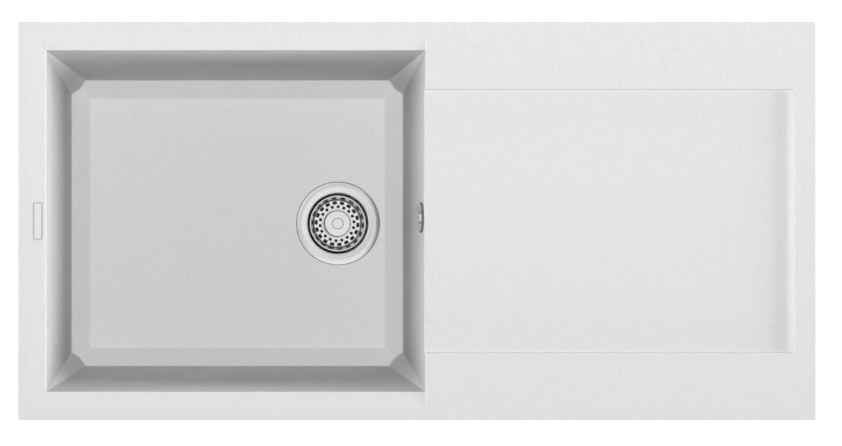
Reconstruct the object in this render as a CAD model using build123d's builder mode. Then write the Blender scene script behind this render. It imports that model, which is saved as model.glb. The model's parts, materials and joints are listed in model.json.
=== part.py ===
from build123d import *
import os
from math import atan2, cos, hypot, radians, sin, tan

# Inset kitchen sink in pale stone composite: one bowl with a strainer waste and an overflow,
# and a plain drainer beside it. Millimetres. X runs along the sink, Y to its back, Z up.
# The origin is the centre of the rim's outline, level with the worktop that the rim stands on.

# Rim
SINK_LENGTH = 1000.0
SINK_WIDTH = 500.0
RIM_HEIGHT = 9.0
RIM_CORNER_RADIUS = 3.0
RIM_EDGE_RADIUS = 2.0
BEARING_WIDTH = 6.0
UNDERSIDE_RELIEF = 1.5
RIM_SEAL_WIDTH = 4.0
SHELL_WALL = 9.0

# Bowl
BOWL_LENGTH = 475.0
BOWL_END_MARGIN = 35.5
BOWL_SIDE_MARGIN = 36.0
BOWL_DEPTH = 200.0
END_DRAFT = 3.1
SIDE_DRAFT = 5.6
BAND_WIDTH = 20.0
BAND_DROP = 2.5
RING_WIDTH = 23.8
RING_DROP = 18.0
CORNER_FACET = 19.5
FACET_START = 3.0
FLOOR_FALL = 1.5
RING_EDGE_RADIUS = 4.0
BOWL_EDGE_RADIUS = 2.0
FLOOR_THICKNESS = 11.0

# Drainer
RECESS_END_MARGIN = 26.0
RECESS_SIDE_MARGIN = 85.0
RECESS_END_DEPTH = 6.0
RECESS_BOWL_DEPTH = 8.0
RECESS_COVE_RADIUS = 10.0
RECESS_FOOT_RADIUS = 2.5
RECESS_EDGE_RADIUS = 1.0

# Bare name plate on the band
BADGE_LENGTH = 46.0
BADGE_WIDTH = 10.5
BADGE_THICKNESS = 1.6
BADGE_POCKET = 1.2
BADGE_GAP = 0.6
BADGE_CORNER_RADIUS = 1.0

# Strainer waste
DRAIN_INSET = 98.0
WASTE_HOLE_RADIUS = 45.0
FLANGE_RADIUS = 57.0
FLANGE_GAP = 1.0
FLANGE_FALL = 0.6
FLANGE_RIM_WIDTH = 5.0
FLANGE_RIM_FALL = 0.8
FLANGE_RIM_BEND = 20.0
FLANGE_EDGE_DROP = 0.6
FLANGE_LIP_RADIUS = 41.8
FLANGE_SHEET = 1.0
SEAT_DEPTH = 2.6
GASKET_INSET = 1.5
GASKET_OUTSET = 0.7
FLANGE_BEND_RADIUS = 2.5
PAN_DEPTH = 35.5
PAN_TAPER = 1.3
PAN_BEND_RADIUS = 4.0
WELL_RADIUS = 22.5
WELL_DEPTH = 5.0
WELL_LIP_RADIUS = 1.2
WELL_BEND_RADIUS = 2.0
WELL_HOLE_RADIUS = 4.2
WELL_HOLE_COUNT = 6
WELL_HOLE_CIRCLE = 14.5
LOWER_GASKET_THICKNESS = 3.0

# Waste body below the bowl
BODY_WALL = 3.5
BODY_FLANGE_WIDTH = 9.0
BODY_FLANGE_THICKNESS = 4.0
BODY_CLEARANCE = 2.5
BODY_CHAMBER_DEPTH = 34.0
FUNNEL_HEIGHT = 20.0
OUTLET_RADIUS = 23.9
OUTLET_BORE = 19.5
OUTLET_LENGTH = 36.0
HUB_RADIUS = 8.0
HUB_HEIGHT = 16.0
HUB_WEB = 3.0
HUB_WEB_COUNT = 3
FIXING_RADIUS = 3.0
FIXING_OVERRUN = 2.0
FIXING_NUT_FLATS = 10.0
FIXING_NUT_HEIGHT = 5.0
POST_RADIUS = 4.0
POST_HEIGHT = 12.0
POST_CHAMFER = 0.8
POST_COLLAR_RADIUS = 7.0
POST_COLLAR_HEIGHT = 1.2
POST_SOCKET_FLATS = 4.0
POST_SOCKET_DEPTH = 3.0

# Strainer basket
SEAL_RADIUS = 34.0
SEAL_THICKNESS = 4.0
SEAL_EDGE_RADIUS = 1.2
BASKET_STANDOFF = 6.0
BASKET_SHEET = 0.8
BASKET_HEIGHT = 20.0
BASKET_FOOT_RADIUS = 33.4
BASKET_RIM_RADIUS = 38.6
BASKET_RIM_WIDTH = 1.6
BASKET_BEND_RADIUS = 3.0
BASKET_RIM_BEND = 1.0
PERFORATION_COUNT = 18
PERFORATION_START = 6.4
PERFORATION_RADIUS = 2.2
PERFORATION_CIRCLE = 23.9
WINDOW_CIRCLE = 29.3
WINDOW_DEPTH = 4.4
WINDOW_WIDTH = 6.0
STEM_SPIGOT_RADIUS = 4.5
STEM_SPIGOT_LENGTH = 8.5
STEM_SHOULDER_RADIUS = 8.5
STEM_NECK_RADIUS = 6.5
STEM_FOOT_RADIUS = 11.0
STEM_FOOT_THICKNESS = 2.0
STEM_RUNNING_GAP = 0.25
POST_HEADROOM = 1.5
KNOB_RADIUS = 18.35
KNOB_STEM_RADIUS = 7.5
KNOB_LIFT = 11.0
KNOB_THICKNESS = 4.0
KNOB_EDGE_RADIUS = 1.9
CAP_RADIUS = 7.2
CAP_THICKNESS = 1.4
CAP_GROOVE = 0.7
CAP_EDGE_RADIUS = 0.3

# Overflow
OVERFLOW_DEPTH = 30.5
OVERFLOW_OFFSET = 5.0
OVERFLOW_BORE = 9.0
ROSETTE_RADIUS = 19.7
ROSETTE_THICKNESS = 2.2
ROSETTE_EDGE_RADIUS = 1.2
ROSETTE_DOME_RADIUS = 11.2
ROSETTE_DOME_RISE = 1.4
ROSETTE_SKIN = 1.2
ROSETTE_HOLE_RADIUS = 1.3
ROSETTE_HOLE_PITCH = 4.4
OVERFLOW_SCREW_SPACING = 29.4
OVERFLOW_SCREW_RADIUS = 1.75
OVERFLOW_SCREW_HEAD = 3.0
OVERFLOW_SCREW_HEAD_HEIGHT = 1.25
OVERFLOW_SCREW_HOLE = 2.3
OVERFLOW_GASKET_THICKNESS = 2.0
HOUSING_LENGTH = 42.0
HOUSING_HEIGHT = 23.0
HOUSING_PLATE = 3.0
HOUSING_WALL = 2.5
HOUSING_REACH = 18.0
HOUSING_BOSS_RADIUS = 3.8
HOUSING_BOSS_LENGTH = 7.0
HOUSING_DROP = 36.0

# Overflow pipe and its unions
SPIGOT_RADIUS = 13.2
SPIGOT_LENGTH = 18.0
INLET_DROP = 19.5
UNION_ROOM = 2.0
UNION_WASHER = 2.0
UNION_COLLAR = 2.0
UNION_COLLAR_RADIUS = 12.6
UNION_GRIP_LENGTH = 12.0
UNION_LIP = 4.0
UNION_RADIUS = 16.5
UNION_RIB_RADIUS = 1.6
UNION_RIB_COUNT = 12
HOSE_BORE = 8.5
HOSE_ROOT_RADIUS = 9.5
HOSE_CREST_RADIUS = 11.2
HOSE_CUFF_LENGTH = 9.0
HOSE_STRAIGHT = 13.0
HOSE_RIB_COUNT = 40

# Clamps that pull the rim down on the worktop
CLAMP_SIDE_INSET = 19.5
CLAMP_RIGHT_INSET = 22.0
CLAMP_END_INSET = 130.0
BOSS_WIDTH = 14.0
BOSS_INWARD = 14.0
BOSS_DROP = 18.0
BOSS_CORNER_RADIUS = 3.0
INSERT_RADIUS = 5.0
INSERT_LENGTH = 10.0
CLAMP_THREAD_RADIUS = 3.0
CLAMP_TRAVEL = 12.0
CLAMP_SHANK = 44.5
CLAMP_SCREW_CHAMFER = 0.6
CLAMP_HEAD_FLATS = 10.0
CLAMP_HEAD_HEIGHT = 4.0
CLAMP_FLANGE_RADIUS = 6.5
CLAMP_FLANGE_THICKNESS = 1.0
CLAW_REACH = 30.0
CLAW_TAIL = 7.0
CLAW_WIDTH = 14.0
CLAW_SHEET = 2.5
CLAW_TIP_HEIGHT = 10.0
CLAW_BEND_RADIUS = 3.5
CLAW_TAIL_RADIUS = 5.0

# Clearances
ASSEMBLY_GAP = 0.1
THREAD_GAP = 0.05
CUT_OVERRUN = 1.0
TOLERANCE = 0.01
LEVEL_SLACK = 0.3

# Levels and places that follow from the sizes above
BOWL_WIDTH = SINK_WIDTH - 2 * BOWL_SIDE_MARGIN
BOWL_CENTRE_X = -SINK_LENGTH / 2 + BOWL_END_MARGIN + BOWL_LENGTH / 2
BOWL_RIGHT_X = BOWL_CENTRE_X + BOWL_LENGTH / 2
BOWL_EDGE_Z = RIM_HEIGHT - BAND_DROP
FLOOR_Z = RIM_HEIGHT - BOWL_DEPTH
RING_Z = FLOOR_Z + RING_DROP
BOWL_UNDER_Z = FLOOR_Z - FLOOR_THICKNESS
RECESS_WIDTH = SINK_WIDTH - 2 * RECESS_SIDE_MARGIN
RECESS_END_X = SINK_LENGTH / 2 - RECESS_END_MARGIN
TRAY_UNDER_Z = RIM_HEIGHT - RECESS_BOWL_DEPTH - SHELL_WALL
DRAIN_X = BOWL_RIGHT_X - DRAIN_INSET
DRAIN_FLOOR_Z = FLOOR_Z - FLOOR_FALL
SEAT_Z = DRAIN_FLOOR_Z - SEAT_DEPTH
FLANGE_EDGE_Z = DRAIN_FLOOR_Z - FLANGE_EDGE_DROP
PAN_Z = DRAIN_FLOOR_Z - PAN_DEPTH
WELL_Z = PAN_Z - WELL_DEPTH
BASKET_Z = PAN_Z + SEAL_THICKNESS + BASKET_STANDOFF
KNOB_Z = BASKET_Z + BASKET_SHEET
KNOB_DISC_Z = KNOB_Z + KNOB_LIFT
KNOB_TOP_Z = KNOB_DISC_Z + KNOB_THICKNESS
BODY_TOP_Z = BOWL_UNDER_Z - LOWER_GASKET_THICKNESS
BODY_BORE = FLANGE_LIP_RADIUS + FLANGE_SHEET + BODY_CLEARANCE
BODY_RADIUS = BODY_BORE + BODY_WALL
FUNNEL_TOP_Z = BODY_TOP_Z - BODY_CHAMBER_DEPTH
OUTLET_TOP_Z = FUNNEL_TOP_Z - FUNNEL_HEIGHT
OUTLET_END_Z = OUTLET_TOP_Z - OUTLET_LENGTH
HUB_UNDER_Z = OUTLET_TOP_Z - HUB_HEIGHT
CLAW_Z = -BOSS_DROP + INSERT_LENGTH - CLAMP_SHANK

DRAIN_AXIS = Axis((DRAIN_X, 0, 0), (0, 0, 1))
DRAIN_SECTION = Plane(origin=(DRAIN_X, 0, 0), x_dir=(1, 0, 0), z_dir=(0, -1, 0))


def drain_level(z):
    """Level plane centred on the drain."""
    return Plane(origin=(DRAIN_X, 0, z))


def finish(part, name):
    """Names a finished piece and writes its file."""
    part.label = name
    export_step(part, f"parts/{name}.step")


os.makedirs("parts", exist_ok=True)


# The bowl's drafted form, used once for its inside and once, grown by the wall, for its outside
def bowl_length(z):
    return BOWL_LENGTH - 2 * (BOWL_EDGE_Z - z) * tan(radians(END_DRAFT))


def bowl_width(z):
    return BOWL_WIDTH - 2 * (BOWL_EDGE_Z - z) * tan(radians(SIDE_DRAFT))


FLOOR_LENGTH = bowl_length(RING_Z) - 2 * RING_WIDTH
FLOOR_WIDTH = bowl_width(RING_Z) - 2 * RING_WIDTH


def end_wall(side, grow):
    """Plane of an end wall, left -1 or right 1, with its normal pointing outwards."""
    tilt = radians(END_DRAFT)
    return Plane(
        origin=(BOWL_CENTRE_X + side * (BOWL_LENGTH / 2 + grow), 0, BOWL_EDGE_Z),
        z_dir=(side * cos(tilt), 0, -sin(tilt)),
    )


def side_wall(side, grow):
    """Plane of a side wall, front -1 or back 1, with its normal pointing outwards."""
    tilt = radians(SIDE_DRAFT)
    return Plane(
        origin=(BOWL_CENTRE_X, side * (BOWL_WIDTH / 2 + grow), BOWL_EDGE_Z),
        z_dir=(0, side * cos(tilt), -sin(tilt)),
    )


def facet_planes(grow):
    """Planes of the four corner facets, from each upper corner down to the ring."""
    for side_x in (-1, 1):
        for side_y in (-1, 1):
            apex, foot = (
                Vector(
                    BOWL_CENTRE_X + side_x * (bowl_length(z) / 2 + grow),
                    side_y * (bowl_width(z) / 2 + grow),
                    z,
                )
                for z in (BOWL_EDGE_Z - FACET_START, RING_Z)
            )
            end_edge = foot - Vector(side_x * CORNER_FACET, 0, 0) - apex
            side_edge = foot - Vector(0, side_y * CORNER_FACET, 0) - apex
            yield Plane(origin=apex, z_dir=end_edge.cross(side_edge) * (-side_x * side_y))


def ring_planes(floor_z):
    """Planes of the sloping ring round the floor."""
    slope = atan2(RING_DROP, RING_WIDTH)
    for side in (-1, 1):
        yield Plane(
            origin=(BOWL_CENTRE_X + side * FLOOR_LENGTH / 2, 0, floor_z),
            z_dir=(side * sin(slope), 0, -cos(slope)),
        )
        yield Plane(
            origin=(BOWL_CENTRE_X, side * FLOOR_WIDTH / 2, floor_z),
            z_dir=(0, side * sin(slope), -cos(slope)),
        )


def bowl_form(grow, floor_z, top_z):
    """Bowl with drafted walls, corner facets and a sloping ring round its floor."""
    with BuildPart() as form:
        with BuildSketch(Plane.XY.offset(floor_z)):
            with Locations((BOWL_CENTRE_X, 0)):
                Rectangle(bowl_length(top_z) + 4 * grow, bowl_width(top_z) + 4 * grow)
        extrude(amount=top_z - floor_z)
        for side in (-1, 1):
            split(bisect_by=end_wall(side, grow), keep=Keep.BOTTOM)
            split(bisect_by=side_wall(side, grow), keep=Keep.BOTTOM)
        for plane in (*facet_planes(grow), *ring_planes(floor_z)):
            split(bisect_by=plane, keep=Keep.BOTTOM)
    return form.part


bowl_shell = bowl_form(SHELL_WALL, BOWL_UNDER_Z, UNDERSIDE_RELIEF + CUT_OVERRUN)
bowl_space = bowl_form(0, FLOOR_Z, RIM_HEIGHT + CUT_OVERRUN)

# Inside of the bowl, its floor falling a little to the drain, with rounded edges round the ring
with BuildPart() as bowl_cavity:
    add(bowl_space)
    with BuildSketch(Plane.XY.offset(FLOOR_Z), mode=Mode.PRIVATE) as floor_outline:
        with Locations((BOWL_CENTRE_X, 0)):
            Rectangle(FLOOR_LENGTH, FLOOR_WIDTH)
    loft(sections=[floor_outline.sketch, Vertex(DRAIN_X, 0, DRAIN_FLOOR_Z)], ruled=True)
    low_edges = bowl_cavity.edges().filter_by(lambda edge: edge.center().Z < RING_Z + TOLERANCE)
    fall_edges = low_edges.filter_by(lambda edge: edge.bounding_box().min.Z < FLOOR_Z - TOLERANCE)
    fillet([edge for edge in low_edges if edge not in fall_edges], RING_EDGE_RADIUS)

# Band that slopes to the bowl at its left, back and front
BAND_SLOPE = atan2(BAND_DROP, BAND_WIDTH)
BAND_TILTS = (
    ((BOWL_CENTRE_X - BOWL_LENGTH / 2, 0, BOWL_EDGE_Z), (-sin(BAND_SLOPE), 0, -cos(BAND_SLOPE))),
    ((BOWL_CENTRE_X, BOWL_WIDTH / 2, BOWL_EDGE_Z), (0, sin(BAND_SLOPE), -cos(BAND_SLOPE))),
    ((BOWL_CENTRE_X, -BOWL_WIDTH / 2, BOWL_EDGE_Z), (0, -sin(BAND_SLOPE), -cos(BAND_SLOPE))),
)
with BuildPart() as band:
    with BuildSketch(Plane.XY.offset(BOWL_EDGE_Z)):
        with Locations((BOWL_CENTRE_X, 0)):
            Rectangle(BOWL_LENGTH + 4 * BAND_WIDTH, BOWL_WIDTH + 4 * BAND_WIDTH)
    extrude(amount=BAND_DROP + CUT_OVERRUN)
    for place, outward in BAND_TILTS:
        split(bisect_by=Plane(origin=place, z_dir=outward), keep=Keep.BOTTOM)
    split(bisect_by=end_wall(1, 0), keep=Keep.BOTTOM)

# Drainer recess: its floor falls to the bowl and sweeps up at the far end
with BuildPart() as recess:
    with BuildSketch(Plane.XZ):
        with BuildLine():
            floor_line = FilletPolyline(
                (BOWL_RIGHT_X - SHELL_WALL, RIM_HEIGHT - RECESS_BOWL_DEPTH),
                (RECESS_END_X, RIM_HEIGHT - RECESS_END_DEPTH),
                (RECESS_END_X, RIM_HEIGHT + 2 * RECESS_COVE_RADIUS),
                radius=RECESS_COVE_RADIUS,
            )
            Polyline(
                floor_line @ 1,
                (BOWL_RIGHT_X - SHELL_WALL, RIM_HEIGHT + 2 * RECESS_COVE_RADIUS),
                floor_line @ 0,
            )
        make_face()
    extrude(amount=RECESS_WIDTH / 2, both=True)
    side_edges = recess.faces().filter_by(Axis.Y).edges()
    floor_edges = recess.faces().sort_by(Axis.Z)[0].edges()
    fillet(floor_edges.filter_by(lambda edge: edge in side_edges), RECESS_FOOT_RADIUS)

# Clamp stations: place on the rim's underside and outward direction in degrees
CLAMP_SIDE_Y = SINK_WIDTH / 2 - CLAMP_SIDE_INSET
CLAMP_SPACING = SINK_LENGTH / 2 - CLAMP_END_INSET
CLAMP_STATIONS = [
    *[(step * CLAMP_SPACING, CLAMP_SIDE_Y, 90) for step in (-1, 0, 1)],
    *[(step * CLAMP_SPACING, -CLAMP_SIDE_Y, 270) for step in (-1, 0, 1)],
    (-SINK_LENGTH / 2 + CLAMP_SIDE_INSET, 0, 180),
    (SINK_LENGTH / 2 - CLAMP_RIGHT_INSET, 0, 0),
]


def clamp_plane(station, z, turn):
    """Level plane at a clamp, its X axis turned from the clamp's outward direction."""
    x, y, outward = station
    angle = radians(outward + turn)
    return Plane(origin=(x, y, z), x_dir=(cos(angle), sin(angle), 0), z_dir=(0, 0, 1))


# Overflow plane: on the bowl's right-hand wall, its normal pointing into the bowl and Y up the wall
OVERFLOW_Z = RIM_HEIGHT - OVERFLOW_DEPTH
OVERFLOW_X = BOWL_CENTRE_X + bowl_length(OVERFLOW_Z) / 2
WALL_NORMAL = Vector(-cos(radians(END_DRAFT)), 0, sin(radians(END_DRAFT)))
OVERFLOW_PLANE = Plane(
    origin=(OVERFLOW_X, OVERFLOW_OFFSET, OVERFLOW_Z), x_dir=(0, -1, 0), z_dir=WALL_NORMAL
)
OVERFLOW_WALL = SHELL_WALL * cos(radians(END_DRAFT))
HOUSING_FACE = -OVERFLOW_WALL - OVERFLOW_GASKET_THICKNESS
SCREW_PLACES = [(-OVERFLOW_SCREW_SPACING / 2, 0), (OVERFLOW_SCREW_SPACING / 2, 0)]

# Bare plate's plane on the left-hand band
BADGE_PLANE = Plane(
    origin=(-SINK_LENGTH / 2 + BOWL_END_MARGIN - BAND_WIDTH / 2, 0, BOWL_EDGE_Z + BAND_DROP / 2),
    x_dir=(0, 1, 0),
    z_dir=(sin(BAND_SLOPE), 0, cos(BAND_SLOPE)),
)


def on_bowl_rim(edge):
    """Whether an edge is one of the bowl's long upper edges beside the band."""
    return edge.length > BOWL_WIDTH / 2 and abs(edge.center().Z - BOWL_EDGE_Z) < LEVEL_SLACK


def on_recess_rim(edge):
    """Whether an edge lies between the deck and the drainer recess."""
    centre = edge.center()
    level = abs(centre.Z - RIM_HEIGHT) < TOLERANCE
    beside = abs(centre.Y) < RECESS_WIDTH / 2 + TOLERANCE
    return level and beside and BOWL_RIGHT_X + SHELL_WALL < centre.X < RECESS_END_X


def on_recess_mouth(edge):
    """Whether an edge is the one where the recess runs out into the bowl."""
    centre = edge.center()
    mouth_z = RIM_HEIGHT - RECESS_BOWL_DEPTH
    beside = abs(centre.X - BOWL_RIGHT_X) < SHELL_WALL and edge.length > RECESS_WIDTH / 2
    return beside and abs(centre.Z - mouth_z) < LEVEL_SLACK


# Sink moulding
with BuildPart() as sink_moulding:
    with BuildSketch():
        RectangleRounded(SINK_LENGTH, SINK_WIDTH, RIM_CORNER_RADIUS)
    extrude(amount=RIM_HEIGHT)
    fillet(sink_moulding.edges().group_by(Axis.Z)[-1], RIM_EDGE_RADIUS)
    with BuildSketch():
        Rectangle(SINK_LENGTH - 2 * BEARING_WIDTH, SINK_WIDTH - 2 * BEARING_WIDTH)
    extrude(amount=UNDERSIDE_RELIEF, mode=Mode.SUBTRACT)
    add(bowl_shell)
    with BuildSketch(Plane.XY.offset(TRAY_UNDER_Z)):
        with Locations(((BOWL_RIGHT_X + RECESS_END_X + SHELL_WALL) / 2, 0)):
            Rectangle(RECESS_END_X + SHELL_WALL - BOWL_RIGHT_X, RECESS_WIDTH + 2 * SHELL_WALL)
    extrude(amount=UNDERSIDE_RELIEF - TRAY_UNDER_Z + CUT_OVERRUN)
    for station in CLAMP_STATIONS:
        with BuildSketch(clamp_plane(station, -BOSS_DROP, 0)):
            with Locations(((BOSS_WIDTH / 2 - BOSS_INWARD) / 2, 0)):
                RectangleRounded(BOSS_WIDTH / 2 + BOSS_INWARD, BOSS_WIDTH, BOSS_CORNER_RADIUS)
        extrude(amount=BOSS_DROP + UNDERSIDE_RELIEF + CUT_OVERRUN)
    add(bowl_cavity.part, mode=Mode.SUBTRACT)
    add(band.part, mode=Mode.SUBTRACT)
    for axis, place in ((Axis.X, 0), (Axis.Y, -1), (Axis.Y, 0)):
        rim_edges = sink_moulding.edges().filter_by(on_bowl_rim)
        fillet(rim_edges.sort_by(axis)[place], BOWL_EDGE_RADIUS)
    add(recess.part, mode=Mode.SUBTRACT)
    fillet(sink_moulding.edges().filter_by(on_recess_rim), RECESS_EDGE_RADIUS)
    fillet(sink_moulding.edges().filter_by(on_recess_mouth), BOWL_EDGE_RADIUS)
    with BuildSketch(drain_level(SEAT_Z)):
        Circle(FLANGE_RADIUS + FLANGE_GAP)
    extrude(amount=SEAT_DEPTH + FLOOR_FALL + CUT_OVERRUN, mode=Mode.SUBTRACT)
    with BuildSketch(drain_level(SEAT_Z + CUT_OVERRUN)):
        Circle(WASTE_HOLE_RADIUS)
    extrude(amount=BOWL_UNDER_Z - SEAT_Z - 2 * CUT_OVERRUN, mode=Mode.SUBTRACT)
    with BuildSketch(OVERFLOW_PLANE.offset(CUT_OVERRUN)):
        Circle(OVERFLOW_BORE)
        with Locations(SCREW_PLACES):
            Circle(OVERFLOW_SCREW_HOLE)
    extrude(amount=-OVERFLOW_WALL - 2 * CUT_OVERRUN, mode=Mode.SUBTRACT)
    with BuildSketch(BADGE_PLANE.offset(-BADGE_POCKET)):
        RectangleRounded(
            BADGE_LENGTH + 2 * BADGE_GAP,
            BADGE_WIDTH + 2 * BADGE_GAP,
            BADGE_CORNER_RADIUS + BADGE_GAP,
        )
    extrude(amount=BADGE_POCKET + CUT_OVERRUN, mode=Mode.SUBTRACT)
    for x, y, outward in CLAMP_STATIONS:
        with BuildSketch(Plane(origin=(x, y, -BOSS_DROP))):
            Circle(INSERT_RADIUS + THREAD_GAP)
        extrude(amount=INSERT_LENGTH, mode=Mode.SUBTRACT)
        with BuildSketch(Plane(origin=(x, y, -BOSS_DROP + INSERT_LENGTH))):
            Circle(CLAMP_THREAD_RADIUS + 2 * ASSEMBLY_GAP)
        extrude(amount=CLAMP_TRAVEL + CUT_OVERRUN, mode=Mode.SUBTRACT)
finish(sink_moulding.part, "sink_moulding")

with BuildPart() as blank_badge:
    with BuildSketch(BADGE_PLANE.offset(-BADGE_POCKET)):
        RectangleRounded(BADGE_LENGTH, BADGE_WIDTH, BADGE_CORNER_RADIUS)
    extrude(amount=BADGE_THICKNESS)
finish(blank_badge.part, "blank_badge")

# Foam strip stuck to the rim's underside, level with the bearing strip
with BuildPart() as rim_seal:
    with BuildSketch():
        Rectangle(SINK_LENGTH - 2 * BEARING_WIDTH, SINK_WIDTH - 2 * BEARING_WIDTH)
        Rectangle(
            SINK_LENGTH - 2 * (BEARING_WIDTH + RIM_SEAL_WIDTH),
            SINK_WIDTH - 2 * (BEARING_WIDTH + RIM_SEAL_WIDTH),
            mode=Mode.SUBTRACT,
        )
    extrude(amount=UNDERSIDE_RELIEF)
finish(rim_seal.part, "rim_seal")

# Strainer flange and pan: one pressed sheet, turned down at its rim and dished towards the pan
CREST_RADIUS = FLANGE_RADIUS - FLANGE_RIM_WIDTH
CREST_Z = FLANGE_EDGE_Z + FLANGE_RIM_FALL
RIM_SLOPE = atan2(-FLANGE_RIM_FALL, FLANGE_RIM_WIDTH)
DISH_SLOPE = atan2(FLANGE_FALL, CREST_RADIUS - FLANGE_LIP_RADIUS)


def flange_top(radius):
    slope = RIM_SLOPE if radius > CREST_RADIUS else DISH_SLOPE
    return CREST_Z + (radius - CREST_RADIUS) * tan(slope)


with BuildPart() as waste_flange:
    with BuildSketch(DRAIN_SECTION):
        with BuildLine():
            FilletPolyline(
                (FLANGE_RADIUS, FLANGE_EDGE_Z),
                (CREST_RADIUS, CREST_Z),
                (FLANGE_LIP_RADIUS, flange_top(FLANGE_LIP_RADIUS)),
                (FLANGE_LIP_RADIUS - PAN_TAPER, PAN_Z),
                (WELL_RADIUS, PAN_Z),
                (WELL_RADIUS, WELL_Z),
                (FIXING_RADIUS + ASSEMBLY_GAP, WELL_Z),
                radius=(
                    FLANGE_RIM_BEND,
                    FLANGE_BEND_RADIUS,
                    PAN_BEND_RADIUS,
                    WELL_LIP_RADIUS,
                    WELL_BEND_RADIUS,
                ),
            )
            offset(amount=FLANGE_SHEET, side=Side.LEFT)
        make_face()
    revolve(axis=DRAIN_AXIS)
    with BuildSketch(drain_level(WELL_Z + CUT_OVERRUN)):
        with PolarLocations(WELL_HOLE_CIRCLE, WELL_HOLE_COUNT):
            Circle(WELL_HOLE_RADIUS)
    extrude(amount=-FLANGE_SHEET - 2 * CUT_OVERRUN, mode=Mode.SUBTRACT)
finish(waste_flange.part, "waste_flange")

GASKET_INNER = WASTE_HOLE_RADIUS + GASKET_INSET
GASKET_OUTER = FLANGE_RADIUS + GASKET_OUTSET
FLANGE_UNDER = FLANGE_SHEET / cos(RIM_SLOPE)
with BuildPart() as flange_gasket:
    with BuildSketch(DRAIN_SECTION):
        with BuildLine():
            Polyline(
                (GASKET_INNER, SEAT_Z),
                (GASKET_OUTER, SEAT_Z),
                (GASKET_OUTER, flange_top(GASKET_OUTER) - FLANGE_UNDER),
                (CREST_RADIUS, CREST_Z - FLANGE_UNDER),
                (GASKET_INNER, flange_top(GASKET_INNER) - FLANGE_UNDER),
                close=True,
            )
        make_face()
    revolve(axis=DRAIN_AXIS)
    add(waste_flange.part, mode=Mode.SUBTRACT)
finish(flange_gasket.part, "flange_gasket")

BODY_FLANGE_RADIUS = BODY_RADIUS + BODY_FLANGE_WIDTH
with BuildPart() as lower_gasket:
    with BuildSketch(drain_level(BODY_TOP_Z)):
        Circle(BODY_FLANGE_RADIUS)
        Circle(BODY_BORE, mode=Mode.SUBTRACT)
    extrude(amount=LOWER_GASKET_THICKNESS)
finish(lower_gasket.part, "lower_gasket")

# Overflow elbow's centre, and the upright plane that the overflow pipe lies in
ELBOW = OVERFLOW_PLANE.offset(HOUSING_FACE - HOUSING_REACH).origin
PIPE_RUN = hypot(ELBOW.X - DRAIN_X, ELBOW.Y)
PIPE_HEADING = Vector((ELBOW.X - DRAIN_X) / PIPE_RUN, ELBOW.Y / PIPE_RUN, 0)
PIPE_SECTION = Plane(
    origin=(DRAIN_X, 0, 0), x_dir=PIPE_HEADING, z_dir=PIPE_HEADING.cross(Vector(0, 0, 1))
)
INLET_Z = BODY_TOP_Z - INLET_DROP
INLET_END = BODY_FLANGE_RADIUS + UNION_ROOM + UNION_GRIP_LENGTH
INLET_PLANE = Plane(
    origin=(DRAIN_X, 0, INLET_Z), x_dir=PIPE_SECTION.z_dir, z_dir=PIPE_HEADING
)
LOWER_JOINT = INLET_PLANE.offset(INLET_END)
UPPER_JOINT = Plane(
    origin=(ELBOW.X, ELBOW.Y, ELBOW.Z - HOUSING_DROP),
    x_dir=PIPE_SECTION.z_dir,
    z_dir=(0, 0, -1),
)

# Waste body: chamber, funnel, threaded outlet, overflow inlet and the web that holds the nut
with BuildPart() as waste_body:
    with BuildSketch(DRAIN_SECTION):
        with BuildLine():
            Polyline(
                (BODY_BORE, BODY_TOP_Z),
                (BODY_FLANGE_RADIUS, BODY_TOP_Z),
                (BODY_FLANGE_RADIUS, BODY_TOP_Z - BODY_FLANGE_THICKNESS),
                (BODY_RADIUS, BODY_TOP_Z - BODY_FLANGE_THICKNESS),
                (BODY_RADIUS, FUNNEL_TOP_Z - BODY_WALL / 2),
                (OUTLET_RADIUS, OUTLET_TOP_Z - BODY_WALL / 2),
                (OUTLET_RADIUS, OUTLET_END_Z),
                (OUTLET_BORE, OUTLET_END_Z),
                (OUTLET_BORE, OUTLET_TOP_Z),
                (BODY_BORE, FUNNEL_TOP_Z),
                close=True,
            )
        make_face()
    revolve(axis=DRAIN_AXIS)
    with BuildSketch(drain_level(OUTLET_TOP_Z)):
        Circle(HUB_RADIUS)
        with PolarLocations(0, HUB_WEB_COUNT):
            with Locations(((OUTLET_BORE + BODY_WALL / 2) / 2, 0)):
                Rectangle(OUTLET_BORE + BODY_WALL / 2, HUB_WEB)
    extrude(amount=-HUB_HEIGHT)
    with BuildSketch(drain_level(OUTLET_TOP_Z + CUT_OVERRUN)):
        Circle(FIXING_RADIUS + ASSEMBLY_GAP)
    extrude(amount=-HUB_HEIGHT - 2 * CUT_OVERRUN, mode=Mode.SUBTRACT)
    with BuildSketch(drain_level(HUB_UNDER_Z)):
        RegularPolygon(FIXING_NUT_FLATS / 2 + ASSEMBLY_GAP, 6, major_radius=False)
    extrude(amount=FIXING_NUT_HEIGHT, mode=Mode.SUBTRACT)
    with BuildSketch(LOWER_JOINT):
        Circle(SPIGOT_RADIUS)
    extrude(amount=BODY_BORE + BODY_WALL / 2 - INLET_END)
    with BuildSketch(LOWER_JOINT.offset(CUT_OVERRUN)):
        Circle(OVERFLOW_BORE)
    extrude(amount=BODY_BORE - BODY_WALL - INLET_END, mode=Mode.SUBTRACT)
finish(waste_body.part, "waste_body")

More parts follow.
